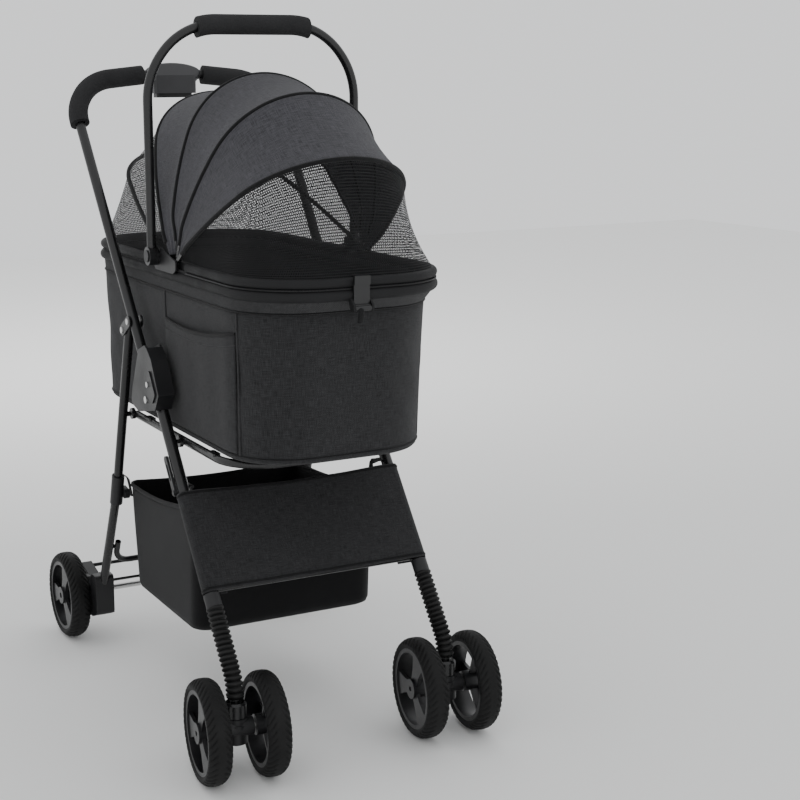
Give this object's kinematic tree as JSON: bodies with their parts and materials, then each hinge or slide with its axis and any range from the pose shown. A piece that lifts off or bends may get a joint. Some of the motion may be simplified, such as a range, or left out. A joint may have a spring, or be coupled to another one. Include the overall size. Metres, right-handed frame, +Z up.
{
  "type": "pet stroller",
  "caption": "Folding pet stroller with a lift-off fabric carrier, arched canopy with mesh windows, carrying bail, push handle, sprung twin casters, braked rear wheels and a lower basket.",
  "frame": {"origin": "on the ground, under the middle of the bounding box, in the middle plane", "axes": "+Z up; -Y is the front of the stroller, where the casters are; +X is the pusher's left"},
  "size_m": [0.4782, 0.8089, 1.064],
  "materials": {
    "black_steel": "satin",
    "bright_steel": "satin",
    "black_plastic": "matte",
    "grey_plastic": "matte",
    "wheel_plastic": "satin",
    "tyre": "matte",
    "black_rubber": "matte",
    "foam": "matte",
    "charcoal_fabric": "matte",
    "black_fabric": "matte",
    "black_mesh": "matte"
  },
  "bodies": {
    "front_frame": {"front_frame_tubes": "black_steel", "hinge_shells": "black_plastic", "hinge_rivets": "bright_steel", "leg_panel": "charcoal_fabric", "front_collars": "black_plastic", "right_boot": "black_rubber", "left_boot": "black_rubber", "right_spring": "bright_steel", "left_spring": "bright_steel", "storage_basket": "black_fabric"},
    "right_strut": {"right_strut": "black_steel"},
    "left_strut": {"left_strut": "black_steel"},
    "right_caster": {"right_caster_fork": "black_plastic", "right_front_axle": "bright_steel"},
    "left_caster": {"left_caster_fork": "black_plastic", "left_front_axle": "bright_steel"},
    "right_caster_right_wheel": {"right_caster_right_rim": "wheel_plastic", "right_caster_right_tyre": "tyre"},
    "right_caster_left_wheel": {"right_caster_left_rim": "wheel_plastic", "right_caster_left_tyre": "tyre"},
    "left_caster_right_wheel": {"left_caster_right_rim": "wheel_plastic", "left_caster_right_tyre": "tyre"},
    "left_caster_left_wheel": {"left_caster_left_rim": "wheel_plastic", "left_caster_left_tyre": "tyre"},
    "handle": {"handle_tube": "black_steel", "handle_grips": "foam", "handle_console": "grey_plastic", "handle_plugs": "black_plastic", "link_plates": "black_steel", "link_rivets": "bright_steel"},
    "fold_button": {"fold_button": "black_plastic"},
    "rear_frame": {"rear_frame_tubes": "black_steel", "rear_collars": "black_plastic", "axle_housings": "black_plastic", "rear_axle": "bright_steel"},
    "right_rear_wheel": {"right_rear_rim": "wheel_plastic", "right_rear_tyre": "tyre"},
    "left_rear_wheel": {"left_rear_rim": "wheel_plastic", "left_rear_tyre": "tyre"},
    "brake": {"brake_pedals": "black_plastic"},
    "seat_frame": {"seat_frame_tube": "black_steel"},
    "storage_hook": {"storage_hook": "black_plastic"},
    "carrier": {"carrier_tub": "charcoal_fabric", "floor_board": "charcoal_fabric", "lower_rim": "black_steel", "rear_rim": "black_steel", "hub_brackets": "black_plastic", "rear_bows": "black_steel", "rear_mesh": "black_mesh"},
    "bail": {"bail_tube": "black_steel", "bail_grip": "foam"},
    "door": {"door_rim": "black_steel", "front_mesh": "black_mesh"},
    "front_bow": {"front_bow": "black_steel", "canopy_front": "charcoal_fabric"},
    "middle_bow": {"middle_bow": "black_steel", "canopy_middle": "charcoal_fabric"},
    "top_bow": {"top_bow": "black_steel", "canopy_rear": "charcoal_fabric"},
    "front_latch": {"front_latch": "black_steel"}
  },
  "joints": [
    {"name": "frame_fold", "type": "hinge", "parent": "front_frame", "child": "handle", "pos_m": [0, -0.031, 0.493], "axis": [-1, 0, 0], "range_deg": [0, 148], "deforming": ["storage_basket"]},
    {"name": "seat_fold", "type": "hinge", "parent": "front_frame", "child": "seat_frame", "pos_m": [0, -0.092, 0.438], "axis": [-1, 0, 0], "range_deg": [0, 106.01], "deforming": ["storage_basket"]},
    {"name": "rear_fold", "type": "hinge", "parent": "handle", "child": "rear_frame", "pos_m": [0, 0.072, 0.585], "axis": [-1, 0, 0], "range_deg": [-106.01, 0], "deforming": ["storage_basket"]},
    {"name": "right_suspension", "type": "slide", "parent": "front_frame", "child": "right_strut", "axis": [0, 0.6018, 0.7986], "range_m": [0, 0.012], "stiffness_N_per_m": 20000, "springref_m": -0.002, "deforming": ["right_boot", "right_spring"]},
    {"name": "right_swivel", "type": "hinge", "parent": "right_strut", "child": "right_caster", "pos_m": [-0.172, -0.318, 0.095], "axis": [0, 0, 1], "continuous": true},
    {"name": "right_caster_right_spin", "type": "hinge", "parent": "right_caster", "child": "right_caster_right_wheel", "pos_m": [-0.2152, -0.31912, 0.075], "axis": [0.9936, -0.1132, 0], "continuous": true},
    {"name": "right_caster_left_spin", "type": "hinge", "parent": "right_caster", "child": "right_caster_left_wheel", "pos_m": [-0.13015, -0.32881, 0.075], "axis": [0.9936, -0.1132, 0], "continuous": true},
    {"name": "right_rear_spin", "type": "hinge", "parent": "rear_frame", "child": "right_rear_wheel", "pos_m": [-0.2097, 0.33, 0.075], "axis": [1, 0, 0], "continuous": true},
    {"name": "left_suspension", "type": "slide", "parent": "front_frame", "child": "left_strut", "axis": [0, 0.6018, 0.7986], "range_m": [0, 0.012], "stiffness_N_per_m": 20000, "springref_m": -0.002, "deforming": ["left_boot", "left_spring"]},
    {"name": "left_swivel", "type": "hinge", "parent": "left_strut", "child": "left_caster", "pos_m": [0.172, -0.318, 0.095], "axis": [0, 0, 1], "continuous": true},
    {"name": "left_caster_right_spin", "type": "hinge", "parent": "left_caster", "child": "left_caster_right_wheel", "pos_m": [0.1288, -0.31912, 0.075], "axis": [0.9936, -0.1132, 0], "continuous": true},
    {"name": "left_caster_left_spin", "type": "hinge", "parent": "left_caster", "child": "left_caster_left_wheel", "pos_m": [0.21385, -0.32881, 0.075], "axis": [0.9936, -0.1132, 0], "continuous": true},
    {"name": "left_rear_spin", "type": "hinge", "parent": "rear_frame", "child": "left_rear_wheel", "pos_m": [0.2097, 0.33, 0.075], "axis": [1, 0, 0], "continuous": true},
    {"name": "brake_press", "type": "hinge", "parent": "rear_frame", "child": "brake", "pos_m": [0, 0.292, 0.108], "axis": [-1, 0, 0], "range_deg": [0, 14]},
    {"name": "hook_swing", "type": "hinge", "parent": "front_frame", "child": "storage_hook", "pos_m": [-0.187, -0.13369, 0.37125], "axis": [-1, 0, 0], "range_deg": [0, 88]},
    {"name": "button_press", "type": "slide", "parent": "handle", "child": "fold_button", "axis": [0, 0, 1], "range_m": [0, 0.007], "stiffness_N_per_m": 600, "springref_m": -0.002},
    {"name": "carrier_lift", "type": "slide", "parent": "seat_frame", "child": "carrier", "axis": [0, 0, -1], "range_m": [-0.08, 0]},
    {"name": "bail_swing", "type": "hinge", "parent": "carrier", "child": "bail", "pos_m": [0, -0.03, 0.711], "axis": [-1, 0, 0], "range_deg": [-35, 45]},
    {"name": "top_bow_fold", "type": "hinge", "parent": "carrier", "child": "top_bow", "pos_m": [0, -0.09, 0.7023], "axis": [-1, 0, 0], "range_deg": [0, 27], "deforming": ["canopy_rear", "canopy_middle", "canopy_front", "front_mesh"]},
    {"name": "middle_bow_fold", "type": "hinge", "parent": "top_bow", "child": "middle_bow", "pos_m": [0, -0.09, 0.7023], "axis": [-1, 0, 0], "range_deg": [0, 25], "deforming": ["canopy_middle", "canopy_front"]},
    {"name": "front_bow_fold", "type": "hinge", "parent": "middle_bow", "child": "front_bow", "pos_m": [0, -0.09, 0.7023], "axis": [-1, 0, 0], "range_deg": [0, 23], "deforming": ["canopy_front", "front_mesh"]},
    {"name": "door_fold", "type": "hinge", "parent": "front_bow", "child": "door", "pos_m": [0, -0.09, 0.7023], "axis": [-1, 0, 0], "range_deg": [0, 20], "deforming": ["front_mesh"]},
    {"name": "latch_swing", "type": "hinge", "parent": "carrier", "child": "front_latch", "pos_m": [-0.009, -0.394, 0.668], "axis": [1, 0, 0], "range_deg": [0, 100]}
  ],
  "couplings": [
    {"joint": "seat_fold", "follows": "frame_fold", "ratio": 0.71622},
    {"joint": "rear_fold", "follows": "frame_fold", "ratio": -0.71622},
    {"joint": "middle_bow_fold", "follows": "top_bow_fold", "ratio": 0.92592},
    {"joint": "front_bow_fold", "follows": "top_bow_fold", "ratio": 0.85185},
    {"joint": "door_fold", "follows": "top_bow_fold", "ratio": 0.74074}
  ]
}
